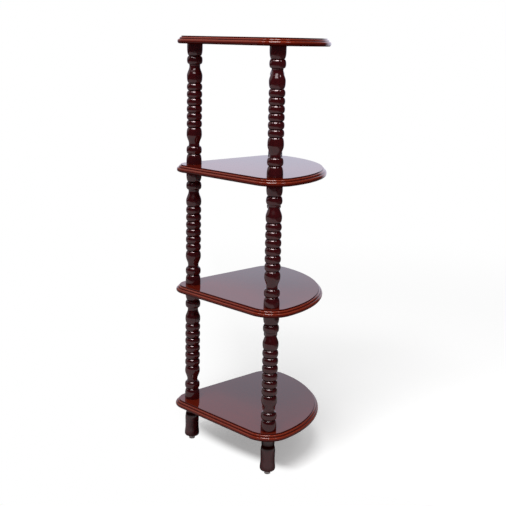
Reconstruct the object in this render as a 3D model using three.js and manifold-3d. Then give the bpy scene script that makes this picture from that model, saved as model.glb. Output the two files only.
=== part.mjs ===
// Corner shelf unit: four moulded boards on three turned posts, in millimetres, +Z up.
// The origin is on the floor, under the middle of the footprint. The two straight sides meet at
// -X and +Y, where the walls of a room meet, and the bowed front faces +X and -Y.
import * as THREE from 'three';
import { mergeVertices } from 'three/addons/utils/BufferGeometryUtils.js';
import Module from 'manifold-3d';

const wasm = await Module();
wasm.setup();

// Boards
const shelfWidth = 320; // along each straight side, over the moulding
const bowRadius = 273.5; // of the front edge
const cornerRadius = 44; // where the two straight sides meet
const endRadius = 54; // where a straight side meets the bow
const boardThickness = 16;
const shelfSpacing = 265; // from one top face to the next
const topExtra = 3; // between the two highest boards, over the other spacings
const mouldingWidth = 8.4; // how far the nose stands out past the top face
const postInset = 39; // from a straight side to the centre of each post beside it
const endPostInset = 35.5; // from the far end of a straight side to the centre of its post

// Spindles and feet
const bellRadius = 16.5; // where a spindle meets a board
const beadRadius = 16.2;
const neckRadius = 11.4;
const notchRadius = 12.2; // at the bottom of each groove
const beadCount = 6;
const footLength = 73;
const footRadius = 16.3;

// Hanger bolts and the threaded inserts that take them
const boltRadius = 4;
const boltWoodLength = 28; // the wood-screw end, in the top of each turning
const boltShortfall = 1; // from a bolt's end to the end of its insert
const insertRadius = 6;
const insertLength = 16; // in the foot of each spindle
const insertSetback = 0.5; // below the face it is driven into
const coverThickness = 4.5; // wood left above the inserts in the top board

// Glides, each held on its foot by a nail
const glideRadius = 6.6;
const glideHeight = 8.4;
const nailRadius = 1.1;
const nailLength = 20; // under its head
const nailHeadRadius = 2.8;
const nailHeadThickness = 1.2;
const glideWebThickness = 4.5; // of the glide, above the nail's head

const clearance = 0.3; // round each bolt, insert and nail
const holeOverrun = 1; // of a drill past the face it starts from
const samePoint = 0.05; // how near two points of an outline count as one

// The edge moulding from the top face down: a quirk, an ovolo, a ledge and a rounded nose.
// Each point is its distance in from the nose and its depth.
const mouldingWidthShares = { quirk: 0.9, ovolo: 0.51, ledge: 0.4, under: 0.29 };
const mouldingDepthShares = { quirk: 0.08, ovolo: 0.32, ledge: 0.39, nose: 0.64, land: 0.77 };

// Where each form of a spindle ends, from its end to its middle
const turningShares = { collar: 0.04, bell: 0.16, ring: 0.32, neck: 0.35, crown: 0.505 };
const beadsStartShare = 0.606;
const topBeadsStartShare = 0.627; // the bulbs under the top board are longer
const bellCurveShare = 0.1; // where the bell starts to fall away
const bulbRiseShare = 0.41; // where the bulb starts to swell
const beadFlatShare = 0.28; // of a bead's length, from its groove to its crown

// A foot's outline from the floor up
const footHeightShares = { toe: 0.04, ankle: 0.13, waist: 0.3, shoulder: 0.58, quirk: 0.72, block: 0.735 };
const footRadiusShares = { sole: 0.8, waist: 0.88, shoulder: 0.945, quirk: 0.8, block: 0.84 };

const turnedSides = 12;
const hardwareSides = 8;
const curveSteps = 2; // in each short curve of an outline
const cornerSteps = 5;
const endSteps = 6;
const bowSteps = 14;

const halfWidth = shelfWidth / 2;
const spindleLength = shelfSpacing - boardThickness;
const boltBoreRadius = boltRadius + clearance;
const insertBoreRadius = insertRadius + clearance;
const bottomBoardUnderside = glideHeight + footLength;

const posts = {
  corner: [postInset - halfWidth, halfWidth - postInset],
  left: [postInset - halfWidth, endPostInset - halfWidth],
  right: [halfWidth - endPostInset, halfWidth - postInset],
};
const tiers = ['bottom', 'lower', 'upper', 'top'];
const undersides = tiers.map((tier, level) => bottomBoardUnderside + level * shelfSpacing);
undersides[tiers.length - 1] += topExtra;

const boardWood = new THREE.MeshStandardMaterial({ color: 0x6e1f12, roughness: 0.18, metalness: 0 });
const turnedWood = new THREE.MeshStandardMaterial({ color: 0x3c0e10, roughness: 0.22, metalness: 0 });
const zincSteel = new THREE.MeshStandardMaterial({ color: 0xb9bcc0, roughness: 0.35, metalness: 1 });
const insertAlloy = new THREE.MeshStandardMaterial({ color: 0xc9a85c, roughness: 0.4, metalness: 1 });
const glideRubber = new THREE.MeshStandardMaterial({ color: 0x1b1718, roughness: 0.7, metalness: 0 });

const unit = new THREE.Group();

// Adds a named piece to the unit, with its own origin at the place given.
function place(name, geometry, material, x, y, z) {
  const mesh = new THREE.Mesh(geometry, material);
  mesh.name = name;
  mesh.position.set(x, y, z);
  unit.add(mesh);
}

// Turns an outline of (radius, height) points about the +Z axis.
function turn(points, sides) {
  return new THREE.LatheGeometry(points, sides).rotateX(Math.PI / 2);
}

function toSolid(geometry) {
  const bare = geometry.clone();
  bare.deleteAttribute('normal');
  bare.deleteAttribute('uv');
  const closed = mergeVertices(bare);
  const mesh = new wasm.Mesh({
    numProp: 3,
    vertProperties: new Float32Array(closed.attributes.position.array),
    triVerts: new Uint32Array(closed.index.array),
  });
  return new wasm.Manifold(mesh);
}

function fromSolid(solid) {
  const mesh = solid.getMesh();
  const geometry = new THREE.BufferGeometry();
  geometry.setAttribute('position', new THREE.BufferAttribute(mesh.vertProperties, 3));
  geometry.setIndex(new THREE.BufferAttribute(mesh.triVerts, 1));
  geometry.computeVertexNormals();
  return geometry;
}

// The boards' outline, anticlockwise from the corner, as four arcs joined by straight lines.
// Each point keeps its outward direction, so that the outline can be moved in by any distance.
function boardOutline() {
  const endCentre = halfWidth - endRadius;
  const bowCentre = -Math.sqrt((bowRadius - endRadius) ** 2 / 2 - endCentre ** 2);
  const tilt = Math.atan2(-bowCentre - endCentre, endCentre - bowCentre);
  const quarter = Math.PI / 2;
  const arcs = [
    [cornerRadius - halfWidth, halfWidth - cornerRadius, cornerRadius, quarter, 2 * quarter, cornerSteps],
    [-endCentre, -endCentre, endRadius, 2 * quarter, 3 * quarter + tilt, endSteps],
    [bowCentre, -bowCentre, bowRadius, 3 * quarter + tilt, 4 * quarter - tilt, bowSteps],
    [endCentre, endCentre, endRadius, 4 * quarter - tilt, 5 * quarter, endSteps],
  ];
  const outline = [];
  for (const [centreX, centreY, radius, from, to, steps] of arcs) {
    for (let step = 0; step <= steps; step += 1) {
      const angle = from + ((to - from) * step) / steps;
      const direction = new THREE.Vector2(Math.cos(angle), Math.sin(angle));
      const point = new THREE.Vector2(centreX, centreY).addScaledVector(direction, radius);
      const last = outline[outline.length - 1];
      if (!last || last.point.distanceTo(point) > samePoint) outline.push({ point, direction });
    }
  }
  return outline;
}

// The moulding's outline from the edge of the top face to the edge of the underside.
function mouldingOutline() {
  const width = (share) => mouldingWidth * share;
  const depth = (share) => -boardThickness * share;
  const { quirk, ovolo, ledge, under } = mouldingWidthShares;
  const depths = mouldingDepthShares;
  const path = new THREE.Path();
  path.moveTo(mouldingWidth, 0);
  path.lineTo(mouldingWidth, depth(depths.quirk));
  path.lineTo(width(quirk), depth(depths.quirk));
  path.quadraticCurveTo(width(ovolo), depth(depths.quirk), width(ovolo), depth(depths.ovolo));
  path.lineTo(width(ovolo), depth(depths.ledge));
  path.lineTo(width(ledge), depth(depths.ledge));
  path.quadraticCurveTo(0, depth(depths.ledge), 0, depth(depths.nose));
  path.lineTo(0, depth(depths.land));
  path.quadraticCurveTo(0, -boardThickness, width(under), -boardThickness);
  return path.getPoints(curveSteps);
}

// A board with its top face at height zero, as rings of the outline joined down the moulding.
function mouldedBoard() {
  const outline = boardOutline();
  const moulding = mouldingOutline();
  const corners = [];
  for (const { x: inset, y: height } of moulding) {
    for (const { point, direction } of outline) {
      const moved = point.clone().addScaledVector(direction, -inset);
      corners.push(moved.x, moved.y, height);
    }
  }
  const count = outline.length;
  const faces = [];
  for (let ring = 0; ring + 1 < moulding.length; ring += 1) {
    for (let side = 0; side < count; side += 1) {
      const next = (side + 1) % count;
      const upper = ring * count;
      const lower = upper + count;
      faces.push(upper + side, lower + side, lower + next, upper + side, lower + next, upper + next);
    }
  }
  const flat = outline.map(({ point }) => point);
  const bottom = (moulding.length - 1) * count;
  for (const [a, b, c] of THREE.ShapeUtils.triangulateShape(flat, [])) {
    faces.push(a, b, c, bottom + c, bottom + b, bottom + a);
  }
  const geometry = new THREE.BufferGeometry();
  geometry.setAttribute('position', new THREE.Float32BufferAttribute(corners, 3));
  geometry.setIndex(faces);
  return geometry;
}

// A board drilled from below at each post, to the depth given.
function drilledBoard(radius, depth) {
  let board = toSolid(mouldedBoard());
  const drillLength = depth + holeOverrun;
  for (const [x, y] of Object.values(posts)) {
    const drill = new THREE.CylinderGeometry(radius, radius, drillLength, hardwareSides).rotateX(Math.PI / 2);
    drill.translate(x, y, drillLength / 2 - holeOverrun - boardThickness);
    board = board.subtract(toSolid(drill));
  }
  return fromSolid(board);
}

// A bead in three flats, from the last point of the path to the height given.
function addBead(path, height, radius) {
  const start = path.currentPoint.y;
  const rise = (height - start) * beadFlatShare;
  path.lineTo(radius, start + rise);
  path.lineTo(radius, height - rise);
  path.lineTo(notchRadius, height);
}

// One end of a spindle's outline, from the face to the first groove of the beads.
function endTurning(beadsStart) {
  const along = (share) => (spindleLength / 2) * share;
  const { collar, bell, ring, neck, crown } = turningShares;
  const path = new THREE.Path();
  path.moveTo(bellRadius, 0);
  path.lineTo(bellRadius, along(collar));
  path.quadraticCurveTo(bellRadius, along(bellCurveShare), notchRadius, along(bell));
  addBead(path, along(ring), beadRadius);
  path.lineTo(neckRadius, along(neck));
  path.quadraticCurveTo(neckRadius, along(bulbRiseShare), beadRadius, along(crown));
  path.quadraticCurveTo(beadRadius, (along(crown) + beadsStart) / 2, notchRadius, beadsStart);
  return path.getPoints(curveSteps);
}

// A spindle standing on height zero: the same turning at both ends, and the beads between.
// Any extra length is in its head. Its foot is bored for an insert and its head for a bolt.
function spindle(beadsShare, extra) {
  const length = spindleLength + extra;
  const beadsStart = (spindleLength / 2) * beadsShare;
  const beadLength = (spindleLength - 2 * beadsStart) / beadCount;
  const end = endTurning(beadsStart);
  const mirrored = end.map(({ x, y }) => new THREE.Vector2(x, spindleLength - y)).reverse();
  mirrored[mirrored.length - 1].y = length;
  const beads = new THREE.Path();
  beads.moveTo(notchRadius, beadsStart);
  for (let bead = 1; bead <= beadCount; bead += 1) {
    addBead(beads, beadsStart + bead * beadLength, beadRadius);
  }
  const insertBoreTop = insertSetback + insertLength + clearance;
  const boltBoreBottom = length - boltWoodLength - clearance;
  return turn([
    new THREE.Vector2(0, insertBoreTop),
    new THREE.Vector2(insertBoreRadius, insertBoreTop),
    new THREE.Vector2(insertBoreRadius, 0),
    ...end,
    ...beads.getPoints().slice(1, -1),
    ...mirrored,
    new THREE.Vector2(boltBoreRadius, length),
    new THREE.Vector2(boltBoreRadius, boltBoreBottom),
    new THREE.Vector2(0, boltBoreBottom),
  ], turnedSides);
}

// A foot standing on height zero, with a nail hole below and a bolt hole above.
function foot() {
  const height = (share) => footLength * share;
  const radius = (share) => footRadius * share;
  const { toe, ankle, waist, shoulder, quirk, block } = footHeightShares;
  const radii = footRadiusShares;
  const nailBoreTop = nailLength - glideWebThickness + clearance;
  const boltBoreBottom = footLength - boltWoodLength - clearance;
  const path = new THREE.Path();
  path.moveTo(0, nailBoreTop);
  path.lineTo(nailRadius + clearance, nailBoreTop);
  path.lineTo(nailRadius + clearance, 0);
  path.lineTo(radius(radii.sole), 0);
  path.quadraticCurveTo(footRadius, 0, footRadius, height(toe));
  path.quadraticCurveTo(footRadius, height(ankle), radius(radii.waist), height(waist));
  path.lineTo(radius(radii.shoulder), height(shoulder));
  path.quadraticCurveTo(radius(radii.shoulder), height(quirk), radius(radii.quirk), height(quirk));
  path.lineTo(radius(radii.block), height(block));
  path.lineTo(radius(radii.block), footLength);
  path.lineTo(boltBoreRadius, footLength);
  path.lineTo(boltBoreRadius, boltBoreBottom);
  path.lineTo(0, boltBoreBottom);
  return turn(path.getPoints(curveSteps), turnedSides);
}

// A hanger bolt with height zero where it leaves the wood: a tapered screw below, a thread above.
function hangerBolt(threadLength) {
  const point = boltRadius / 2;
  return turn([
    new THREE.Vector2(0, -boltWoodLength),
    new THREE.Vector2(point, -boltWoodLength),
    new THREE.Vector2(boltRadius, -boltWoodLength + boltRadius),
    new THREE.Vector2(boltRadius, threadLength - point),
    new THREE.Vector2(point, threadLength),
    new THREE.Vector2(0, threadLength),
  ], hardwareSides);
}

// A threaded insert standing on height zero, chamfered at its leading end.
function threadedInsert(length) {
  const chamfer = (insertRadius - boltBoreRadius) / 2;
  return turn([
    new THREE.Vector2(boltBoreRadius, 0),
    new THREE.Vector2(insertRadius, 0),
    new THREE.Vector2(insertRadius, length - chamfer),
    new THREE.Vector2(insertRadius - chamfer, length),
    new THREE.Vector2(boltBoreRadius, length),
    new THREE.Vector2(boltBoreRadius, 0),
  ], hardwareSides);
}

// A glide on the floor, with a recess that keeps the nail's head off it.
function glide() {
  const recessRadius = nailHeadRadius + clearance;
  const recessTop = glideHeight - glideWebThickness;
  const nailBoreRadius = nailRadius + clearance;
  const chamfer = nailRadius / 2;
  return turn([
    new THREE.Vector2(recessRadius, 0),
    new THREE.Vector2(glideRadius - chamfer, 0),
    new THREE.Vector2(glideRadius, chamfer),
    new THREE.Vector2(glideRadius, glideHeight),
    new THREE.Vector2(nailBoreRadius, glideHeight),
    new THREE.Vector2(nailBoreRadius, recessTop),
    new THREE.Vector2(recessRadius, recessTop),
    new THREE.Vector2(recessRadius, 0),
  ], turnedSides);
}

// A nail, point up, with height zero under its head.
function nail() {
  return turn([
    new THREE.Vector2(0, -nailHeadThickness),
    new THREE.Vector2(nailHeadRadius, -nailHeadThickness),
    new THREE.Vector2(nailHeadRadius, 0),
    new THREE.Vector2(nailRadius, 0),
    new THREE.Vector2(nailRadius, nailLength - 2 * nailRadius),
    new THREE.Vector2(0, nailLength),
  ], hardwareSides);
}

// The top board is bored only part of the way, for its inserts; bolts pass through the others.
const topBoreDepth = boardThickness - coverThickness;
const topInsertLength = topBoreDepth - insertSetback - clearance;
for (const [level, tier] of tiers.entries()) {
  const isTop = level === tiers.length - 1;
  const board = isTop
    ? drilledBoard(insertBoreRadius, topBoreDepth)
    : drilledBoard(boltBoreRadius, boardThickness + holeOverrun);
  place(`${tier}_shelf`, board, boardWood, 0, 0, undersides[level] + boardThickness);
}

for (const [post, [x, y]] of Object.entries(posts)) {
  place(`${post}_glide`, glide(), glideRubber, x, y, 0);
  place(`${post}_glide_nail`, nail(), zincSteel, x, y, glideHeight - glideWebThickness);
  place(`${post}_foot`, foot(), turnedWood, x, y, glideHeight);
  for (const [level, tier] of tiers.entries()) {
    const underside = undersides[level];
    const isTop = level === tiers.length - 1;
    const insertBase = isTop ? underside : underside + boardThickness;
    const length = isTop ? topInsertLength : insertLength;
    const threadLength = insertBase + insertSetback + length - boltShortfall - underside;
    place(`${post}_${tier}_bolt`, hangerBolt(threadLength), zincSteel, x, y, underside);
    place(`${post}_${tier}_insert`, threadedInsert(length), insertAlloy, x, y, insertBase + insertSetback);
    if (!isTop) {
      const underTop = level === tiers.length - 2;
      const turned = underTop ? spindle(topBeadsStartShare, topExtra) : spindle(beadsStartShare, 0);
      place(`${post}_${tier}_spindle`, turned, turnedWood, x, y, underside + boardThickness);
    }
  }
}

export default unit;
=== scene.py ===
# %% [markdown]
# # A mahogany corner shelf unit
# Four boards with a bowed front are held apart by three posts of turned spindles. All of it is
# stained dark mahogany and lacquered until it shines like wet paint. The unit's sizes are fixed
# already: the solids that carry it come in as a frame, in metres, +Z up, and each piece below takes
# its place and its size from them. What is made here is the fine surface that an eye meets.

import bpy
import numpy as np
from math import radians
from mathutils import Matrix, Vector
from mathutils.geometry import tessellate_polygon


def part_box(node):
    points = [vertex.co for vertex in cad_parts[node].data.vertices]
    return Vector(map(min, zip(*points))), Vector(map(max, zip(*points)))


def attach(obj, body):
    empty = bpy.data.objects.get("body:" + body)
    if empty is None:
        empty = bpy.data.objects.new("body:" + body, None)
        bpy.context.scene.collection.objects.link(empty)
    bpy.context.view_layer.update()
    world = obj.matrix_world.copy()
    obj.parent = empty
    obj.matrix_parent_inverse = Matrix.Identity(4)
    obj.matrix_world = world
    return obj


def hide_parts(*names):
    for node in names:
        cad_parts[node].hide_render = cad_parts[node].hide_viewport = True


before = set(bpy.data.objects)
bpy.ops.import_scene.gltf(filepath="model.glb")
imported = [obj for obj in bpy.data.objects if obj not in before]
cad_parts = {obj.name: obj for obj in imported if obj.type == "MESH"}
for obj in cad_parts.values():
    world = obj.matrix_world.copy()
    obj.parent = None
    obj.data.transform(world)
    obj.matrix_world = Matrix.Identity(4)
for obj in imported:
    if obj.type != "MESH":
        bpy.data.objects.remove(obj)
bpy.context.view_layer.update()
MM = 0.001
print("pieces in the frame:", len(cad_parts))

# %% [markdown]
# ## The camera
# The unit is seen from the height of its top board and from about two metres away, through a lens
# that is turned a little down and rolled by about a degree. The heading is measured from +X. All
# five values were fitted until the boards and the posts lay where the photograph has them. A camera
# in Blender looks along its own -Z, so it is rolled about that axis, then tipped up from the floor,
# then swung to its heading.

# %% Place the camera
CAMERA_PLACE = Vector((-1461.0, -1459.9, 891.0)) * MM
CAMERA_HEADING = radians(46.106)
CAMERA_TILT_DOWN = radians(12.446)
CAMERA_ROLL = radians(1.216)
CAMERA_LENS = 68.9

camera = bpy.data.objects.new("camera", bpy.data.cameras.new("camera"))
bpy.context.scene.collection.objects.link(camera)
bpy.context.scene.camera = camera
camera.data.lens = CAMERA_LENS
heading = Matrix.Rotation(CAMERA_HEADING - radians(90), 4, "Z")
tilt = Matrix.Rotation(radians(90) - CAMERA_TILT_DOWN, 4, "X")
roll = Matrix.Rotation(CAMERA_ROLL, 4, "Z")
camera.matrix_world = Matrix.Translation(CAMERA_PLACE) @ heading @ tilt @ roll
print("camera at", [round(value, 3) for value in CAMERA_PLACE])

# %% [markdown]
# ## Helpers for materials
# A colour picked from a screen is an sRGB value, and a shader wants a linear one, so every hex
# colour goes through one function. A material is a small graph: one function adds a node with its
# settings and its links, and that is all the machinery the finishes need. Blender numbers the
# sockets of its Mix node: for colours, 0 is the factor, 6 and 7 are the inputs, and 2 the output.

# %% Colours and nodes
def colour(hex_code):
    """The linear colour, with alpha 1, of an sRGB hex code such as 7a2a18."""
    screen = np.array([int(hex_code[start:start + 2], 16) / 255 for start in (0, 2, 4)])
    linear = np.where(screen <= 0.04045, screen / 12.92, ((screen + 0.055) / 1.055) ** 2.4)
    return (*linear.tolist(), 1.0)


def grey(level):
    """A linear grey with alpha 1."""
    return (level, level, level, 1.0)


def add_node(tree, kind, inputs=(), stops=(), **settings):
    """Adds a node: settings are its properties, and inputs maps a socket's name or number to
    a value or to the output socket that feeds it. A colour ramp also takes its stops, which are
    pairs of a place from 0 to 1 and a linear colour, in order."""
    node = tree.nodes.new(kind)
    for name, value in settings.items():
        setattr(node, name, value)
    for key, value in dict(inputs).items():
        if isinstance(value, bpy.types.NodeSocket):
            tree.links.new(value, node.inputs[key])
        else:
            node.inputs[key].default_value = value
    for number, (place, shade) in enumerate(stops):
        elements = node.color_ramp.elements
        stop = elements[number] if number < len(elements) else elements.new(place)
        stop.position = place
        stop.color = shade
    return node


def new_material(name):
    """An empty material and its node tree."""
    material = bpy.data.materials.new(name)
    material.use_nodes = True
    material.node_tree.nodes.clear()
    return material, material.node_tree


print("7a2a18 in linear light:", [round(value, 3) for value in colour("7a2a18")])

# %% [markdown]
# ## The studio
# Lacquer is a mirror as well as a colour, so what stands round the unit matters as much as the
# lamps do. A white screen stands behind it. The boards' tops reflect that screen at a low angle,
# each board another height of it, so the screen's level changes with the height. The rest of the
# room is dark, which leaves the turnings deep red, but for two soft glows: one round the key lamp,
# one on the wall at the left. All this could be built from planes, and each would then light the
# unit too. Painted on the world by direction, it can be shown to glossy rays alone: the camera
# finds plain white, and what lights the unit from all round is an even grey.

# %% Directions and glows
# The camera's side is the way from the unit to the camera, along the floor.
CAMERA_SIDE = Vector((-0.691, -0.723, 0.0))
KEY_AZIMUTH = 211


def towards(azimuth, elevation):
    """The direction of an azimuth, measured from +X, and an elevation, both in degrees: its height
    is the sine of the elevation, and the rest is the cosine, shared by the azimuth."""
    flat = np.cos(radians(elevation))
    east = flat * np.cos(radians(azimuth))
    north = flat * np.sin(radians(azimuth))
    return Vector((east, north, np.sin(radians(elevation))))


def with_glow(tree, direction, room, centre, edge, full, level):
    """The room's colour with a soft white glow round a centre. The glow grows from nothing to its
    level as the cosine of the angle to the centre goes from its edge's to that of its full part."""
    cosine = add_node(tree, "ShaderNodeVectorMath", {0: direction, 1: centre}, operation="DOT_PRODUCT")
    glow = add_node(tree, "ShaderNodeMapRange", {"Value": cosine.outputs["Value"], "From Min": edge,
                    "From Max": full, "To Max": level}, interpolation_type="SMOOTHSTEP")
    return add_node(tree, "ShaderNodeMix", {0: glow.outputs[0], 6: room, 7: grey(1.0)},
                    data_type="RGBA").outputs[2]


print("towards the key lamp:", [round(value, 3) for value in towards(KEY_AZIMUTH, 0)])

# %% The screen and the dark room
# The screen's edge and its full part are cosines of the angle to straight behind the unit. Each of
# its levels goes with the sine of the elevation that it is seen at.
SCREEN_EDGE = 0.77
SCREEN_FULL = 0.90
SCREEN_COLOUR = "edecff"
SCREEN_LEVELS = [(0.14, 1.125), (0.234, 1.0), (0.252, 0.88), (0.272, 0.98), (0.335, 0.91)]
ROOM_COLOUR = "2c2a2e"
KEY_GLOW = {"centre": towards(KEY_AZIMUTH, 56), "edge": 0.78, "full": 0.98, "level": 0.18}
WALL_GLOW = {"centre": towards(108, 28), "edge": 0.81, "full": 0.94, "level": 0.4}

world = bpy.data.worlds.new("studio")
bpy.context.scene.world = world
world.use_nodes = True
sky = world.node_tree
sky.nodes.clear()
direction = add_node(sky, "ShaderNodeTexCoord").outputs["Generated"]
behind = add_node(sky, "ShaderNodeVectorMath", {0: direction, 1: -CAMERA_SIDE}, operation="DOT_PRODUCT")
screen = add_node(sky, "ShaderNodeMapRange", {"Value": behind.outputs["Value"], "From Min": SCREEN_EDGE,
                  "From Max": SCREEN_FULL}, interpolation_type="SMOOTHSTEP")
height = add_node(sky, "ShaderNodeSeparateXYZ", {0: direction}).outputs["Z"]
dim = add_node(sky, "ShaderNodeValToRGB", {"Fac": height},
               stops=[(sine, grey(level)) for sine, level in SCREEN_LEVELS])
part = add_node(sky, "ShaderNodeMath", {0: screen.outputs[0], 1: dim.outputs["Color"]},
                operation="MULTIPLY")
room = add_node(sky, "ShaderNodeMix", {0: part.outputs[0], 6: colour(ROOM_COLOUR),
                7: colour(SCREEN_COLOUR)}, data_type="RGBA", clamp_factor=False).outputs[2]
for glow in (KEY_GLOW, WALL_GLOW):
    room = with_glow(sky, direction, room, **glow)
print("heights on the screen:", len(SCREEN_LEVELS))

# %% What each kind of ray finds
AMBIENT_LEVEL = 0.5

rays = add_node(sky, "ShaderNodeLightPath").outputs
reflected = add_node(sky, "ShaderNodeMix", {0: rays["Is Glossy Ray"], 6: grey(AMBIENT_LEVEL), 7: room},
                     data_type="RGBA")
shown = add_node(sky, "ShaderNodeMix", {0: rays["Is Camera Ray"], 6: reflected.outputs[2], 7: grey(1.0)},
                 data_type="RGBA")
background = add_node(sky, "ShaderNodeBackground", {"Color": shown.outputs[2]})
add_node(sky, "ShaderNodeOutputWorld", {"Surface": background.outputs[0]})
bpy.context.scene.view_settings.view_transform = "Standard"
print("nodes in the world:", len(sky.nodes))

# %% [markdown]
# ## The floor
# The unit stands on white paper, which keeps its soft shadow and runs out into plain white. Turning
# up the lamps until the paper clips would bleach the wood as well, so the white is mixed into the
# paper's own material instead. It takes over past a curve that is crisp in front of the unit and
# soft behind it, and slowly, as a haze, with the distance. Sheen is another matter: the turnings
# face down as much as up, and show the paper as a pale band. So glossy rays find the paper dimmer
# under the unit, to its right, and towards the camera, where the paper ends.

# %% A sheet of white paper
FLOOR_REACH = 3.2
CAMERA_RIGHT = Vector((0.723, -0.691, 0.0))

mesh = bpy.data.meshes.new("floor")
edge = FLOOR_REACH
corners = [(-edge, -edge, 0), (edge, -edge, 0), (edge, edge, 0), (-edge, edge, 0)]
mesh.from_pydata(corners, [], [(0, 1, 2, 3)])
floor = bpy.data.objects.new("floor", mesh)
bpy.context.scene.collection.objects.link(floor)
material, tree = new_material("white paper floor")
floor.data.materials.append(material)
rays = add_node(tree, "ShaderNodeLightPath").outputs
place = add_node(tree, "ShaderNodeTexCoord").outputs["Object"]
aside = add_node(tree, "ShaderNodeVectorMath", {0: place, 1: CAMERA_RIGHT}, operation="DOT_PRODUCT")
front = add_node(tree, "ShaderNodeVectorMath", {0: place, 1: CAMERA_SIDE}, operation="DOT_PRODUCT")
aside, front = aside.outputs["Value"], front.outputs["Value"]
print("floor", 2 * FLOOR_REACH, "m across")

# %% Where it turns plain white
# A point's distance from the fade's centre counts the way to the front more than the way aside.
# Behind the centre only the way aside counts. The fade ends at one distance. Its beginning draws in
# over a stretch behind the unit's middle, where its curve goes from crisp to soft.
FADE_CENTRE = (0.752, -0.439, 0.0)
FADE_SQUASH = 1.54
FADE_END = 1.006
FADE_CRISP = {"front": -0.1, "begins": 0.952}
FADE_SOFT = {"front": -0.5, "begins": 0.72}
HAZE_CENTRE = (-0.472, -0.617, 0.0)
HAZE_REACH = (0.54, 3.2)

squashed = add_node(tree, "ShaderNodeMath", {0: front, 1: FADE_SQUASH}, operation="MULTIPLY")
held = add_node(tree, "ShaderNodeMath", {0: squashed.outputs[0], 1: FADE_CENTRE[1]}, operation="MAXIMUM")
flat = add_node(tree, "ShaderNodeCombineXYZ", {"X": aside, "Y": held.outputs[0]})
reach = add_node(tree, "ShaderNodeVectorMath", {0: flat.outputs[0], 1: FADE_CENTRE}, operation="DISTANCE")
begins = add_node(tree, "ShaderNodeMapRange", {
    "Value": front, "From Min": FADE_CRISP["front"], "From Max": FADE_SOFT["front"],
    "To Min": FADE_CRISP["begins"], "To Max": FADE_SOFT["begins"]})
fade = add_node(tree, "ShaderNodeMapRange", {
    "Value": reach.outputs["Value"], "From Min": begins.outputs[0], "From Max": FADE_END},
    interpolation_type="SMOOTHSTEP")
away = add_node(tree, "ShaderNodeVectorMath", {0: place, 1: HAZE_CENTRE}, operation="DISTANCE")
haze = add_node(tree, "ShaderNodeMapRange", {
    "Value": away.outputs["Value"], "From Min": HAZE_REACH[0], "From Max": HAZE_REACH[1]},
    interpolation_type="SMOOTHSTEP")
whiter = add_node(tree, "ShaderNodeMath", {0: fade.outputs[0], 1: haze.outputs[0]}, operation="MAXIMUM")
print("the paper is plain white", FADE_END, "m from", FADE_CENTRE[:2])

# %% Its colour and its white
# The lift is a faint glow for the camera alone, which brings lit paper close to white.
PAPER_COLOUR = "f2f2f2"
PAPER_LIFT = 0.245

paint = add_node(tree, "ShaderNodeBsdfDiffuse", {"Color": colour(PAPER_COLOUR)})
lift = add_node(tree, "ShaderNodeMath", {0: rays["Is Camera Ray"], 1: PAPER_LIFT}, operation="MULTIPLY")
raised = add_node(tree, "ShaderNodeEmission", {"Strength": lift.outputs[0]})
shaded = add_node(tree, "ShaderNodeAddShader", {0: paint.outputs[0], 1: raised.outputs[0]})
white = add_node(tree, "ShaderNodeEmission", {"Strength": 1.0})
seen = add_node(tree, "ShaderNodeMath", {0: rays["Is Camera Ray"], 1: rays["Is Glossy Ray"]},
                operation="MAXIMUM")
far = add_node(tree, "ShaderNodeMath", {0: whiter.outputs[0], 1: seen.outputs[0]}, operation="MULTIPLY")
paper = add_node(tree, "ShaderNodeMixShader", {0: far.outputs[0], 1: shaded.outputs[0],
                 2: white.outputs[0]})
print("paper in linear light:", round(colour(PAPER_COLOUR)[0], 3))

# %% How much of it the lacquer reflects
# Each change of level goes over a stretch in metres, and the levels are multiplied.
outward = add_node(tree, "ShaderNodeVectorMath", {0: place}, operation="LENGTH").outputs["Value"]
SHEEN_CHANGES = [
    {"along": front, "stretch": (1.6, 2.6), "levels": (0.36, 0.1), "curve": "SMOOTHSTEP"},
    {"along": aside, "stretch": (0.55, 0.9), "levels": (1.0, 0.2), "curve": "LINEAR"},
    {"along": outward, "stretch": (0.14, 0.26), "levels": (0.05, 1.0), "curve": "LINEAR"}]

sheen = 1.0
for change in SHEEN_CHANGES:
    level = add_node(tree, "ShaderNodeMapRange", {
        "Value": change["along"], "From Min": change["stretch"][0], "From Max": change["stretch"][1],
        "To Min": change["levels"][0], "To Max": change["levels"][1]}, interpolation_type=change["curve"])
    sheen = add_node(tree, "ShaderNodeMath", {0: sheen, 1: level.outputs[0]},
                     operation="MULTIPLY").outputs[0]
loss = add_node(tree, "ShaderNodeMath", {0: 1.0, 1: sheen}, operation="SUBTRACT")
dimming = add_node(tree, "ShaderNodeMath", {0: loss.outputs[0], 1: rays["Is Glossy Ray"]},
                   operation="MULTIPLY")
dark = add_node(tree, "ShaderNodeEmission", {"Strength": 0.0})
shown = add_node(tree, "ShaderNodeMixShader", {0: dimming.outputs[0], 1: paper.outputs[0],
                 2: dark.outputs[0]})
add_node(tree, "ShaderNodeOutputMaterial", {"Surface": shown.outputs[0]})
print("nodes in the paper:", len(tree.nodes))

# %% [markdown]
# ## The lamps
# A bead is a mirror too, so a lamp's shape shows in it: here one bright dash that trails off at both
# ends. A point lamp would leave a dot. The key is therefore a wide softbox, high up and a little to
# the left of the camera, and far enough off to light every tier alike. A dim one below it, the
# apron, softens the dash's lower edge, and a small one at either side makes the faint ends.

# %% Softboxes
AIM = Vector((-0.12, -0.12, 0.6))


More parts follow.
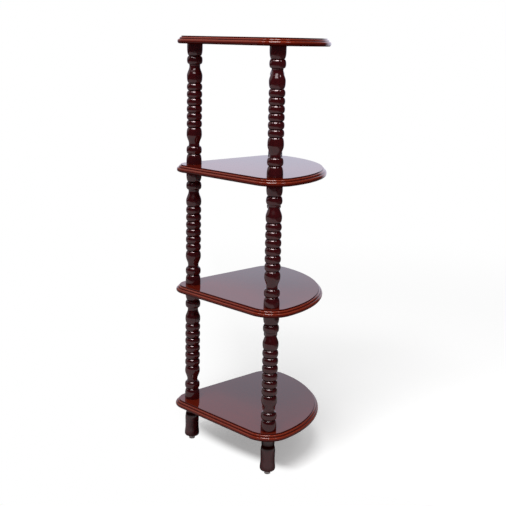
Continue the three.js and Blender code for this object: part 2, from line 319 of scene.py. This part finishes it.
def softbox(name, azimuth, elevation, distance, width, height, watts):
    """A rectangular lamp that faces AIM from an azimuth and an elevation in degrees. Its distance
    and its size are in metres."""
    lamp = bpy.data.lights.new(name, "AREA")
    lamp.shape = "RECTANGLE"
    lamp.size = width
    lamp.size_y = height
    lamp.energy = watts
    toward = towards(azimuth, elevation)
    box = bpy.data.objects.new(name, lamp)
    bpy.context.scene.collection.objects.link(box)
    facing = toward.to_track_quat("Z", "Y").to_matrix().to_4x4()
    box.matrix_world = Matrix.Translation(AIM + toward * distance) @ facing


softbox("key", KEY_AZIMUTH, elevation=59, distance=2.6, width=1.58, height=0.67, watts=55)
softbox("apron", KEY_AZIMUTH, elevation=44.5, distance=1.4, width=0.85, height=0.22, watts=1.7)
for name, azimuth in (("left strip", 156), ("right strip", 282)):
    softbox(name, azimuth, elevation=50, distance=1.4, width=0.3, height=0.35, watts=1.6)

# %% [markdown]
# ## Surfaces from rings
# A turning is an outline spun about an axis, and a moulded edge is an outline carried round a
# board. Both are a stack of closed rings, so one function joins rings into a skin. The rings come
# as one array, rows of columns of points, and numpy makes every face at once. Blender could spin an
# outline itself, but its points would then have to be found again to give each one its relief.

# %% Rings into a mesh
SHARP_ANGLE = radians(38)


def ring_faces(rows, columns, first=0, closed=False):
    """The four-cornered faces between each row and the next. A row's points run anticlockwise seen
    from above, and rows that climb give faces that look outwards."""
    index = first + np.arange(rows * columns).reshape(rows, columns)
    lower = index if closed else index[:-1]
    upper = np.roll(index, -1, axis=0)[:len(lower)]
    corners = [lower, np.roll(lower, -1, axis=1), np.roll(upper, -1, axis=1), upper]
    return np.stack(corners, axis=-1).reshape(-1, 4)


def add_piece(name, points, faces, node, relief=None):
    """A smooth piece with its sharp edges kept, that stands for a node of the frame. Its relief is
    a number at each point, from -1 in a deep recess to 1 on a crown, which the stain's colour
    follows with painted shade and painted highlight."""
    mesh = bpy.data.meshes.new(name)
    mesh.from_pydata(points.tolist(), [], [face for group in faces for face in group.tolist()])
    mesh.shade_smooth()
    mesh.set_sharp_from_angle(angle=SHARP_ANGLE)
    if relief is not None:
        mesh.attributes.new("relief", "FLOAT", "POINT").data.foreach_set("value", relief)
    piece = bpy.data.objects.new(name, mesh)
    bpy.context.scene.collection.objects.link(piece)
    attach(piece, "root")
    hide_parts(node)
    return piece


print("faces between two rings of four points:", len(ring_faces(2, 4)))

# %% Outlines and their spinning
def spin(outline, centre, sides):
    """Rings from an outline of (radius, height) points: radius times the cosine and the sine of an
    angle that goes once round the centre."""
    angle = np.linspace(0, 2 * np.pi, sides, endpoint=False)
    radius = outline[:, :1]
    x = centre[0] + radius * np.cos(angle)
    y = centre[1] + radius * np.sin(angle)
    z = np.repeat(outline[:, 1:], sides, axis=1) + centre[2]
    return np.stack([x, y, z], axis=-1)


def quarter(start, end, steps, power=2.0, rising=False):
    """Points of a rounded corner from start to end, after the start. It leaves along the height and
    arrives across it, or the other way about if rising. As an angle t goes from 0 to 90 degrees,
    one coordinate follows 1 - cos(t)^(2/power) and the other sin(t)^(2/power): with power 2 that
    is a quarter of a circle, and a higher power fills the corner more."""
    turn = np.linspace(0, np.pi / 2, steps + 1)[1:]
    across = 1 - np.cos(turn) ** (2 / power)
    along = np.sin(turn) ** (2 / power)
    if rising:
        across, along = along, across
    start, end = np.array(start), np.array(end)
    return start + (end - start) * np.stack([across, along], axis=-1)


def swell(start, end, steps):
    """Points of a smooth swelling after the start: the height follows a share u, and the radius
    follows half of 1 minus the cosine of pi times u."""
    share = np.linspace(0, 1, steps + 1)[1:]
    bend = (1 - np.cos(np.pi * share)) / 2
    start, end = np.array(start), np.array(end)
    return start + (end - start) * np.stack([bend, share], axis=-1)


print("half way round a quarter circle:", quarter((0, 0), (1, 1), 2)[0].round(3).tolist())

# %% Places from the frame
CLEARANCE = 0.3 * MM
TIERS = ["bottom", "lower", "upper", "top"]
POSTS = ["corner", "left", "right"]


def middle_and_size(node):
    """The middle of a node's base, its radius and its height."""
    low, high = (np.array(corner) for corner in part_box(node))
    middle = (low + high) / 2
    return (middle[0], middle[1], low[2]), (high[0] - low[0]) / 2, high[2] - low[2]


def bore(node, base=0.0):
    """The radius of the hole round a node, and where the hole ends above and below, from a base."""
    low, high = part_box(node)
    return (high[0] - low[0]) / 2 + CLEARANCE, high[2] + CLEARANCE - base, low[2] - CLEARANCE - base


spindle_length = middle_and_size("corner_bottom_spindle")[2]
print("a spindle's length:", round(spindle_length / MM, 1), "mm")

# %% [markdown]
# ## The spindles
# Each spindle comes off the lathe as a bell, a ring, a waisted neck and a bulb at either end, with
# six beads between them. A bead isn't quite half a circle: the turner leaves its crown a little
# flat, so each is a quarter of a rounded square up and a quarter down. The places along the spindle
# are shares of its half length. The longer spindles under the top board have their extra length in
# the head, and the bottom tier's were turned a little higher on their blanks than the rest.

# %% Outlines for turnings
NOTCH_RADIUS = 11.9 * MM
BEAD_RADIUS = 16.5 * MM
NECK_RADIUS = 11.4 * MM
END_EASE = 0.8 * MM
BEAD_POWER = 2.15
BELL_POWER = 2.3
FALL_POWER = 2.4
TURNING_SHARES = {"collar": 0.04, "bell": 0.175, "ring": 0.3125, "neck": 0.345, "crown": 0.505}
CORNER_STEPS = 10
SWELL_STEPS = 20


def bead(low, high, power=BEAD_POWER):
    """A bead's outline after its lower groove, up to its upper one."""
    crown = (BEAD_RADIUS, (low + high) / 2)
    up = quarter((NOTCH_RADIUS, low), crown, CORNER_STEPS, power, rising=True)
    return np.vstack([up, quarter(crown, (NOTCH_RADIUS, high), CORNER_STEPS, power)])


def turned_end(half, beads_start, bell_radius):
    """One end of a spindle from its face to its first groove: bell, ring, neck and bulb."""
    places = {name: half * share for name, share in TURNING_SHARES.items()}
    face = np.array([[bell_radius - END_EASE, 0]])
    lip = quarter(face[0], (bell_radius, END_EASE), CORNER_STEPS, rising=True)
    collar = np.array([[bell_radius, places["collar"]]])
    bell = quarter(collar[0], (NOTCH_RADIUS, places["bell"]), CORNER_STEPS, BELL_POWER)
    ring = bead(places["bell"], places["ring"], BELL_POWER)
    neck = swell(ring[-1], (NECK_RADIUS, places["neck"]), CORNER_STEPS)
    bulb = swell(neck[-1], (BEAD_RADIUS, places["crown"]), SWELL_STEPS)
    fall = quarter(bulb[-1], (NOTCH_RADIUS, beads_start), SWELL_STEPS, FALL_POWER)
    return np.vstack([face, lip, collar, bell, ring, neck, bulb, fall])


print("points in one bead:", len(bead(0, 1)))

# %% One turning for a node
TURNED_SIDES = 96


def groove_relief(heights, grooves, width, loss=1.0):
    """The relief down a turning: 1, less a loss times a narrow bell curve,
    exp(-(distance / width)^2), at the height of each groove. The dip is painted shade."""
    distance = (heights[:, None] - np.array(grooves)) / width
    return np.clip(1 - loss * np.exp(-distance ** 2).sum(axis=1), -1, 1)


def add_turning(node, centre, outline, relief):
    """A lacquered turning: an outline spun about its centre. It runs from the inner end of the hole
    in the foot, round the outside, to the inner end of the hole in the head, and a flat face closes
    each of the two."""
    rings = spin(outline, centre, TURNED_SIDES)
    rim = np.arange(TURNED_SIDES)[None]
    last_rim = rim + (len(outline) - 1) * TURNED_SIDES
    faces = [ring_faces(len(outline), TURNED_SIDES), rim[:, ::-1], last_rim]
    return add_piece(f"{node}_turned", rings.reshape(-1, 3), faces, node,
                     np.repeat(relief, TURNED_SIDES))


print("sides of a turning:", TURNED_SIDES)

# %% Turn the spindles
BEAD_COUNT = 6
BEADS_START_SHARE = 0.606
TOP_BEADS_START_SHARE = 0.627
GROOVE_WIDTH = 0.9 * MM
BOTTOM_RISE = 1.9 * MM


def turn_spindle(post, tier, above):
    """A spindle with the hole for its insert in its foot and the hole for its bolt in its head."""
    node = f"{post}_{tier}_spindle"
    centre, bell_radius, length = middle_and_size(node)
    half = spindle_length / 2
    beads_start = half * (TOP_BEADS_START_SHARE if above == "top" else BEADS_START_SHARE)
    foot = turned_end(half, beads_start, bell_radius)
    grooves = np.linspace(beads_start, spindle_length - beads_start, BEAD_COUNT + 1)
    beads = [bead(low, high) for low, high in zip(grooves, grooves[1:])]
    head = foot[::-1] * (1, -1) + (0, spindle_length)
    # A longer spindle has its extra length below the head's lip, whose points come last.
    lip_points = CORNER_STEPS + 1
    head[-lip_points:, 1] += length - spindle_length
    insert_bore, insert_top, _ = bore(f"{post}_{tier}_insert", centre[2])
    bolt_bore, _, bolt_bottom = bore(f"{post}_{above}_bolt", centre[2])
    foot_hole = [[insert_bore, insert_top], [insert_bore, 0]]
    head_hole = [[bolt_bore, length], [bolt_bore, bolt_bottom]]
    outline = np.vstack([foot_hole, foot, *beads, head[1:], head_hole])
    # Painted shade: the relief dips at the cuts of the bell and the ring at both ends and at every groove
    # between the beads.
    cuts = [half * TURNING_SHARES[name] for name in ("bell", "ring")]
    cuts += [*grooves, *(spindle_length - cut for cut in cuts)]
    relief = groove_relief(outline[:, 1], cuts, GROOVE_WIDTH)
    # The bottom tier's turnings rise between their collars. The holes' points are nearer the axis.
    if tier == "bottom":
        collar = half * TURNING_SHARES["collar"]
        turned = (outline[:, 0] > insert_bore) & (abs(outline[:, 1] - length / 2) <= length / 2 - collar)
        outline[turned, 1] += BOTTOM_RISE
    return add_turning(node, centre, outline, relief)


spindles = [turn_spindle(post, tier, above) for post in POSTS for tier, above in zip(TIERS, TIERS[1:])]
print("spindles:", len(spindles), "each with", len(spindles[0].data.polygons), "faces")

# %% [markdown]
# ## The feet and their glides
# A foot has a plain block under the board, a quirk cut in beside it, a rounded shoulder, and a body
# that is drawn in a little and then flares to the floor. It is turned like a spindle, so it is made
# like one. The quirk is dark over a good width with painted shade, which takes a wider and deeper
# curve of relief than a bead's groove and turns the lacquer's shine off there. Under the foot a
# small moulded glide is nailed, with a recess that keeps the nail's head off the floor.

# %% Turn the feet
FOOT_HEIGHT_SHARES = {"toe": 0.075, "waist": 0.32, "shoulder": 0.61, "quirk": 0.775, "block": 0.79}
FOOT_RADIUS_SHARES = {"sole": 0.8, "waist": 0.915, "shoulder": 0.94, "quirk": 0.8, "block": 0.84}
FOOT_GROOVE_SHARE = 0.733
FOOT_GROOVE_WIDTH = 4.6 * MM
FOOT_GROOVE_LOSS = 3.2
SHOULDER_POWER = 1.25
NAIL_RADIUS = 1.1 * MM


def turn_foot(post):
    """A foot, from the nail's hole round its outside to the bolt's hole."""
    node = f"{post}_foot"
    centre, radius, length = middle_and_size(node)
    heights = {name: length * share for name, share in FOOT_HEIGHT_SHARES.items()}
    radii = {name: radius * share for name, share in FOOT_RADIUS_SHARES.items()}
    nail_bore = NAIL_RADIUS + CLEARANCE
    _, nail_top, _ = bore(f"{post}_glide_nail", centre[2])
    bolt_bore, _, bolt_bottom = bore(f"{post}_bottom_bolt", centre[2])
    sole = [[nail_bore, nail_top], [nail_bore, 0], [radii["sole"], 0]]
    toe = quarter(sole[-1], (radius, heights["toe"]), CORNER_STEPS, rising=True)
    ankle = swell(toe[-1], (radii["waist"], heights["waist"]), SWELL_STEPS)
    body = swell(ankle[-1], (radii["shoulder"], heights["shoulder"]), SWELL_STEPS)
    shoulder = quarter(body[-1], (radii["quirk"], heights["quirk"]), CORNER_STEPS, SHOULDER_POWER)
    block = [[radii["block"], heights["block"]], [radii["block"], length]]
    hole = [[bolt_bore, length], [bolt_bore, bolt_bottom]]
    outline = np.vstack([sole, toe, ankle, body, shoulder, block, hole])
    # Painted shade: a wide dip of relief at the quirk, dark and without the lacquer's shine.
    relief = groove_relief(outline[:, 1], [length * FOOT_GROOVE_SHARE], FOOT_GROOVE_WIDTH, FOOT_GROOVE_LOSS)
    return add_turning(node, centre, outline, relief)


feet = [turn_foot(post) for post in POSTS]
print("feet:", len(feet))

# %% Mould the glides
GLIDE_WEB = 4.5 * MM
NAIL_HEAD_RADIUS = 2.8 * MM
GLIDE_EASE = 1.2 * MM


def mould_glide(post):
    """A glide, as one closed outline: out along the floor, up its side and back down its hole."""
    node = f"{post}_glide"
    centre, radius, height = middle_and_size(node)
    recess = NAIL_HEAD_RADIUS + CLEARANCE
    hole = NAIL_RADIUS + CLEARANCE
    tread = quarter((radius - GLIDE_EASE, 0), (radius, GLIDE_EASE), CORNER_STEPS, rising=True)
    crown = quarter((radius, height - END_EASE), (radius - END_EASE, height), CORNER_STEPS)
    inside = [[hole, height], [hole, height - GLIDE_WEB], [recess, height - GLIDE_WEB], [recess, 0]]
    outline = np.vstack([[[radius - GLIDE_EASE, 0]], tread, [[radius, height - END_EASE]], crown, inside])
    rings = spin(outline, centre, TURNED_SIDES)
    faces = [ring_faces(len(outline), TURNED_SIDES, closed=True)]
    return add_piece(f"{node}_moulded", rings.reshape(-1, 3), faces, node)


glides = [mould_glide(post) for post in POSTS]
print("glides:", len(glides))

# %% [markdown]
# ## The boards
# A board's outline is four arcs, joined by straight lines or tangent to each other: the corner, the
# two ends and the bow between them. A router then carries one cutter round the whole edge. It
# leaves a small quirk under the top face, a rounded ovolo, a ledge, and a full nose that rolls
# under. So a board is that section carried round the outline, closed by a flat face above and one
# below. A bevel on a flat board would give the rounding, but not the quirk and the ledge.

# %% The outline
SIDE = 320 * MM
BOW_RADIUS = 273.5 * MM
CORNER_RADIUS = 44 * MM
END_RADIUS = 54 * MM
ARC_STEPS = {"corner": 24, "end": 32, "bow": 64}


def board_outline():
    """The outline's points and its outward directions, anticlockwise from the corner. The bow's
    centre lies on the diagonal, as far from each end arc's centre as their radii differ, so that
    the bow is tangent to both. An arc that starts where the one before it stops leaves out its
    first point."""
    half = SIDE / 2
    end = half - END_RADIUS
    bow = -np.sqrt((BOW_RADIUS - END_RADIUS) ** 2 / 2 - end ** 2)
    tilt = np.arctan2(-bow - end, end - bow)
    right = np.pi / 2
    corner = (CORNER_RADIUS - half, half - CORNER_RADIUS)
    arcs = [(corner, CORNER_RADIUS, right, 2 * right, ARC_STEPS["corner"], 0),
            ((-end, -end), END_RADIUS, 2 * right, 3 * right + tilt, ARC_STEPS["end"], 0),
            ((bow, -bow), BOW_RADIUS, 3 * right + tilt, 4 * right - tilt, ARC_STEPS["bow"], 1),
            ((end, end), END_RADIUS, 4 * right - tilt, 5 * right, ARC_STEPS["end"], 1)]
    points, directions = [], []
    for centre, radius, start, stop, steps, first in arcs:
        angle = np.linspace(start, stop, steps + 1)[first:]
        outward = np.stack([np.cos(angle), np.sin(angle)], axis=-1)
        points.append(np.array(centre) + radius * outward)
        directions.append(outward)
    return np.vstack(points), np.vstack(directions)


outline_points, outline_directions = board_outline()
print("points round a board:", len(outline_points))

# %% The section
MOULDING_WIDTH = 8.4 * MM
MOULDING_WIDTH_SHARES = {"quirk": 0.9, "ovolo": 0.51, "ledge": 0.4, "under": 0.65}
MOULDING_DEPTH_SHARES = {"quirk": 0.14, "ovolo": 0.355, "ledge": 0.4, "nose": 0.69, "land": 0.73}


def moulding_places(thickness):
    """How far in from the edge, and how deep under the top face, the parts of the moulding lie."""
    wide = {name: MOULDING_WIDTH * share for name, share in MOULDING_WIDTH_SHARES.items()}
    deep = {name: thickness * share for name, share in MOULDING_DEPTH_SHARES.items()}
    return wide, deep


def moulding_section(thickness):
    """The section's (inset, depth) points from the underside up to the edge of the top face."""
    wide, deep = moulding_places(thickness)
    under = quarter((wide["under"], thickness), (0, deep["land"]), CORNER_STEPS, rising=True)
    nose = quarter((0, deep["nose"]), (wide["ledge"], deep["ledge"]), CORNER_STEPS)
    ovolo = quarter((wide["ovolo"], deep["ovolo"]), (wide["quirk"], deep["quirk"]), CORNER_STEPS)
    return np.vstack([
        [[wide["under"], thickness]], under, [[0, deep["nose"]]], nose,
        [[wide["ovolo"], deep["ledge"]], [wide["ovolo"], deep["ovolo"]]], ovolo,
        [[MOULDING_WIDTH, deep["quirk"]], [MOULDING_WIDTH, 0]]])


board_thickness = middle_and_size("top_shelf")[2]
print("points in the section:", len(moulding_section(board_thickness)))

# %% The section's relief
# Painted light: the relief rises at the crowns for a painted highlight, and dips at the quirk, the ledge
# and towards the base for painted shade.
FACE_RELIEF = 0.3
MOULDING_RELIEF = 0.6
CROWN_SPREAD = 0.75 * MM
RECESS_LOSS = 1.6
RECESS_SPREAD = 0.95 * MM
BASE_START_SHARE = 0.56
BASE_LOSS = 2.2


def section_relief(section, thickness):
    """The relief at each point of the section: a middle value, plus a bell curve,
    exp(-(distance / spread)^2), round the crown of the ovolo and of the nose, less one round the
    quirk and the ledge, and less a straight fall towards the base. The crowns' rise is a painted
    highlight, and the dips at the quirk, the ledge and the base are painted shade."""
    wide, deep = moulding_places(thickness)

    def nearness(places, spread):
        """The sum of the bell curves round the places."""
        distance = np.linalg.norm(section[:, None] - np.array(places), axis=-1)
        return np.exp(-(distance / spread) ** 2).sum(axis=1)

    nose = quarter((0, deep["nose"]), (wide["ledge"], deep["ledge"]), 2)[0]
    ovolo = quarter((wide["ovolo"], deep["ovolo"]), (wide["quirk"], deep["quirk"]), 2)[0]
    recesses = [(MOULDING_WIDTH, deep["quirk"]), (wide["ovolo"], deep["ledge"])]
    fall = thickness * BASE_START_SHARE
    base = np.clip((section[:, 1] - fall) / (thickness - fall), 0, 1)
    relief = MOULDING_RELIEF - BASE_LOSS * base
    relief += (1 - MOULDING_RELIEF) * nearness([nose, ovolo], CROWN_SPREAD)
    relief -= RECESS_LOSS * nearness(recesses, RECESS_SPREAD)
    relief[-1] = FACE_RELIEF
    return np.clip(relief, -1, 1)


board_relief = section_relief(moulding_section(board_thickness), board_thickness)
print("relief up the section:", board_relief.round(1).tolist())

# %% Make the boards
HOLE_SIDES = 32


def flat_faces(loops, upwards):
    """Triangles between an outline and the holes in it, facing up or down. Each loop comes with its
    first point's number in the mesh. Twice a triangle's area, from its sides' cross product, is
    above zero if it faces up, and one that faces the wrong way is turned over."""
    flat = np.vstack([loop for loop, _ in loops])
    numbers = np.concatenate([first + np.arange(len(loop)) for loop, first in loops])
    triangles = np.array(tessellate_polygon([[Vector((x, y, 0)) for x, y in loop] for loop, _ in loops]))
    a, b, c = (flat[triangles[:, corner]] for corner in range(3))
    area = (b - a)[:, 0] * (c - a)[:, 1] - (b - a)[:, 1] * (c - a)[:, 0]
    triangles = np.where((area > 0)[:, None] == upwards, triangles, triangles[:, ::-1])
    return numbers[triangles]


def make_board(tier):
    """A board: its moulded edge, its flat faces, and a hole up from below at each post. The bolts'
    holes go through. The top board's are blind, and hold inserts."""
    node = f"{tier}_shelf"
    low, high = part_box(node)
    thickness = high[2] - low[2]
    section = moulding_section(thickness)
    columns = len(outline_points)
    ground = outline_points - section[:, 0, None, None] * outline_directions
    heights = np.repeat(high[2] - section[:, 1:], columns, axis=1)
    edge_rings = np.concatenate([ground, heights[..., None]], axis=-1)
    faces = [ring_faces(len(section), columns)]
    parts = [edge_rings.reshape(-1, 3)]
    lower = [(edge_rings[0, :, :2], 0)]
    upper = [(edge_rings[-1, :, :2], (len(section) - 1) * columns)]
    start = len(parts[0])
    for post in POSTS:
        centre = middle_and_size(f"{post}_{tier}_bolt")[0]
        blind = tier == "top"
        radius, hole_top, _ = bore(f"{post}_{tier}_{'insert' if blind else 'bolt'}")
        hole_end = hole_top if blind else high[2]
        hole = spin(np.array([[radius, hole_end], [radius, low[2]]]), (centre[0], centre[1], 0), HOLE_SIDES)
        faces.append(ring_faces(2, HOLE_SIDES, first=start))
        if blind:
            faces.append(start + np.arange(HOLE_SIDES)[None, ::-1])
        else:
            upper.append((hole[0, :, :2], start))
        lower.append((hole[1, :, :2], start + HOLE_SIDES))
        parts.append(hole.reshape(-1, 3))
        start += len(parts[-1])
    faces += [flat_faces(upper, True), flat_faces(lower, False)]
    points = np.vstack(parts)
    relief = np.full(len(points), FACE_RELIEF)
    relief[:len(section) * columns] = np.repeat(section_relief(section, thickness), columns)
    return add_piece(f"{node}_moulded", points, faces, node, relief)


boards = [make_board(tier) for tier in TIERS]
print("boards:", len(boards), "each with", len(boards[0].data.polygons), "faces")

# %% [markdown]
# ## The lacquered wood
# The boards and the turnings are stained dark and finished with sprayed gloss lacquer. The lacquer
# is clear and smooth, so the shader has a low roughness, and the stain is the base colour under it.
# The boards keep a varnish's IOR of 1.5. The turnings' thick coats throw back more, and a little
# red, so their IOR and tint are matched to the pale bands on them. Painted light rides on the stain
# and follows the relief. Painted shade darkens the grooves, the quirks and ledges, and the lower part
# of the boards' edges, where the nose rolls under. A painted highlight lightens the boards' crowns.
# Below 0, in the recesses, the lacquer's shine also falls with the relief, which is painted shade
# too. Mahogany shows as fine streaks along the grain with slow changes of tone: along the boards'
# left side, and up the posts.

# %% Stained and lacquered mahogany
# Real pores are some 0.2 mm wide, too fine to show from here, so the streaks stand for bands of
# them. Most values of a noise lie within its span, which is stretched to the streaks' full share.
STREAK_WIDTH = 4 * MM
TONE_WIDTH = 38 * MM
TONE_SHARE = 0.45
RIPPLE_WIDTH = 16 * MM
RIPPLE_STRENGTH = 0.012
NOISE_SPAN = (0.3, 0.7)


def lacquered_mahogany(name, stain_and_painted_light, streak_share, grain, roughness, ior, tint):
    """Mahogany under gloss lacquer. The stops of stain and painted light pair a relief with a colour:
    darker stops are painted shade in the recesses, and on the boards the top stop is a painted
    highlight on the crowns. The streaks take a share away from it and add as much, and the grain is
    the direction that they run in, as the scale that squashes their pattern there."""
    material, tree = new_material(name)
    place = add_node(tree, "ShaderNodeTexCoord").outputs["Object"]
    squash = add_node(tree, "ShaderNodeMapping", {"Vector": place, "Scale": grain})
    streaks = add_node(tree, "ShaderNodeTexNoise", {"Vector": squash.outputs[0], "Scale": 1 / STREAK_WIDTH,
                       "Detail": 5.0, "Roughness": 0.62})
    tone = add_node(tree, "ShaderNodeTexNoise", {"Vector": squash.outputs[0], "Scale": 1 / TONE_WIDTH,
                    "Detail": 2.0})
    both = add_node(tree, "ShaderNodeMix", {"Factor": TONE_SHARE, "A": streaks.outputs["Fac"],
                    "B": tone.outputs["Fac"]}, data_type="FLOAT")
    depth = add_node(tree, "ShaderNodeMapRange", {
        "Value": both.outputs[0], "From Min": NOISE_SPAN[0], "From Max": NOISE_SPAN[1],
        "To Min": 1 - streak_share, "To Max": 1 + streak_share})
    relief = add_node(tree, "ShaderNodeAttribute", attribute_name="relief").outputs["Fac"]
    share = add_node(tree, "ShaderNodeMapRange", {"Value": relief, "From Min": -1.0})
    # Painted light: this ramp gives the stain's colour painted shade in the recesses and, on the boards, a
    # painted highlight on the crowns.
    stain_and_shading_ramp = add_node(tree, "ShaderNodeValToRGB", {"Fac": share.outputs[0]},
                       stops=[((1 + level) / 2, colour(hex_code)) for level, hex_code in stain_and_painted_light])
    wood = add_node(tree, "ShaderNodeMix", {0: 1.0, 6: stain_and_shading_ramp.outputs["Color"], 7: depth.outputs[0]},
                    data_type="RGBA", blend_type="MULTIPLY")
    ripple = add_node(tree, "ShaderNodeTexNoise", {"Vector": place, "Scale": 1 / RIPPLE_WIDTH,
                      "Detail": 1.0})
    bump = add_node(tree, "ShaderNodeBump", {"Height": ripple.outputs["Fac"], "Strength": RIPPLE_STRENGTH,
                    "Distance": 1 * MM})
    # Painted shade: below 0 the shine falls to nothing, so the recesses reflect less.
    shine = add_node(tree, "ShaderNodeMapRange", {"Value": relief, "From Min": -1.0, "From Max": 0.0,
                     "To Min": 0.0, "To Max": 0.5})
    lacquer = add_node(tree, "ShaderNodeBsdfPrincipled", {
        "Base Color": wood.outputs[2], "Roughness": roughness, "IOR": ior,
        "Specular IOR Level": shine.outputs[0], "Specular Tint": tint, "Normal": bump.outputs[0]})
    add_node(tree, "ShaderNodeOutputMaterial", {"Surface": lacquer.outputs[0]})
    return material


print("ripples in the lacquer:", RIPPLE_WIDTH / MM, "mm apart")

# %% Finish the boards and the turnings
# Painted light on the boards: the stops at -1 and 0 are painted shade in the recesses and on the lower
# edge, and the stop at 1 is a painted highlight on the crowns. The stops at 0.3 and 0.6 are the stain
# itself.
BOARD_STAIN_AND_PAINTED_LIGHT = [(-1.0, "2c0301"), (0.0, "460702"), (0.3, "5a170a"), (0.6, "5c190a"), (1.0, "7e3424")]
# On the turnings the stop at 0 is painted shade in the grooves and the quirks, and the stop at 1 is the
# stain itself.
TURNING_STAIN_AND_PAINTED_SHADE = [(0.0, "1a0202"), (1.0, "2f0608")]

board_finish = lacquered_mahogany(
    "gloss lacquered mahogany board", BOARD_STAIN_AND_PAINTED_LIGHT, streak_share=0.16, grain=(1.0, 0.06, 1.0),
    roughness=0.05, ior=1.5, tint=grey(1.0))
turning_finish = lacquered_mahogany(
    "gloss lacquered mahogany turning", TURNING_STAIN_AND_PAINTED_SHADE, streak_share=0.3, grain=(1.0, 1.0, 0.06),
    roughness=0.06, ior=1.9, tint=(1.0, 0.84, 0.86, 1.0))
for piece in boards:
    piece.data.materials.append(board_finish)
for piece in spindles + feet:
    piece.data.materials.append(turning_finish)
print("lacquered pieces:", len(boards) + len(spindles) + len(feet))

# %% [markdown]
# ## Hidden hardware
# The bolts and nails are steel with bright zinc, the inserts a die-cast zinc alloy passivated
# yellow, and the glides moulded rubber. They hardly show, but a part that is taken to pieces shows
# them all, so none is left plain. The solids of bolts, nails and inserts stay as they are.

# %% Metals and rubber
# The grain of plating and of a blasted mould is finer than a tenth of a millimetre. It is drawn
# some ten times coarser here, or nothing of it would show.
def plated_metal(name, base, roughness, grain_size):
    """A plated metal with the fine unevenness of plating over a turned or drawn blank. Its speckle
    changes the roughness by about a fifth and lifts the surface a little."""
    material, tree = new_material(name)
    place = add_node(tree, "ShaderNodeTexCoord").outputs["Object"]
    speckle = add_node(tree, "ShaderNodeTexNoise", {"Vector": place, "Scale": 1 / grain_size,
                       "Detail": 3.0})
    uneven = add_node(tree, "ShaderNodeMapRange", {"Value": speckle.outputs["Fac"],
                      "To Min": roughness * 0.8, "To Max": roughness * 1.25})
    bump = add_node(tree, "ShaderNodeBump", {"Height": speckle.outputs["Fac"], "Strength": 0.1,
                    "Distance": 0.1 * MM})
    metal = add_node(tree, "ShaderNodeBsdfPrincipled", {"Base Color": colour(base), "Metallic": 1.0,
                     "Roughness": uneven.outputs[0], "Normal": bump.outputs[0]})
    add_node(tree, "ShaderNodeOutputMaterial", {"Surface": metal.outputs[0]})
    return material


def moulded_rubber(name, base, roughness, grain_size):
    """Rubber from a blasted mould: dull, with a fine even grain."""
    material, tree = new_material(name)
    place = add_node(tree, "ShaderNodeTexCoord").outputs["Object"]
    blast = add_node(tree, "ShaderNodeTexNoise", {"Vector": place, "Scale": 1 / grain_size,
                     "Detail": 2.0})
    bump = add_node(tree, "ShaderNodeBump", {"Height": blast.outputs["Fac"], "Strength": 0.25,
                    "Distance": 0.1 * MM})
    rubber = add_node(tree, "ShaderNodeBsdfPrincipled", {"Base Color": colour(base), "Roughness": roughness,
                      "Normal": bump.outputs[0]})
    add_node(tree, "ShaderNodeOutputMaterial", {"Surface": rubber.outputs[0]})
    return material


zinc = plated_metal("bright zinc plated steel", "b9bcc0", roughness=0.3, grain_size=1.5 * MM)
insert_metal = plated_metal("yellow passivated zinc alloy", "c9a85c", roughness=0.38, grain_size=1.2 * MM)
rubber = moulded_rubber("moulded grey rubber", "9a9290", roughness=0.6, grain_size=0.7 * MM)
print("hardware finishes:", [finish.name for finish in (zinc, insert_metal, rubber)])

# %% Finish the hardware
FINISHES = {"bolt": zinc, "nail": zinc, "insert": insert_metal}

hardware = [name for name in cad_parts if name.split("_")[-1] in FINISHES]
for name in hardware:
    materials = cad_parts[name].data.materials
    materials.clear()
    materials.append(FINISHES[name.split("_")[-1]])
for piece in glides:
    piece.data.materials.append(rubber)
print("bolts, nails and inserts:", len(hardware))
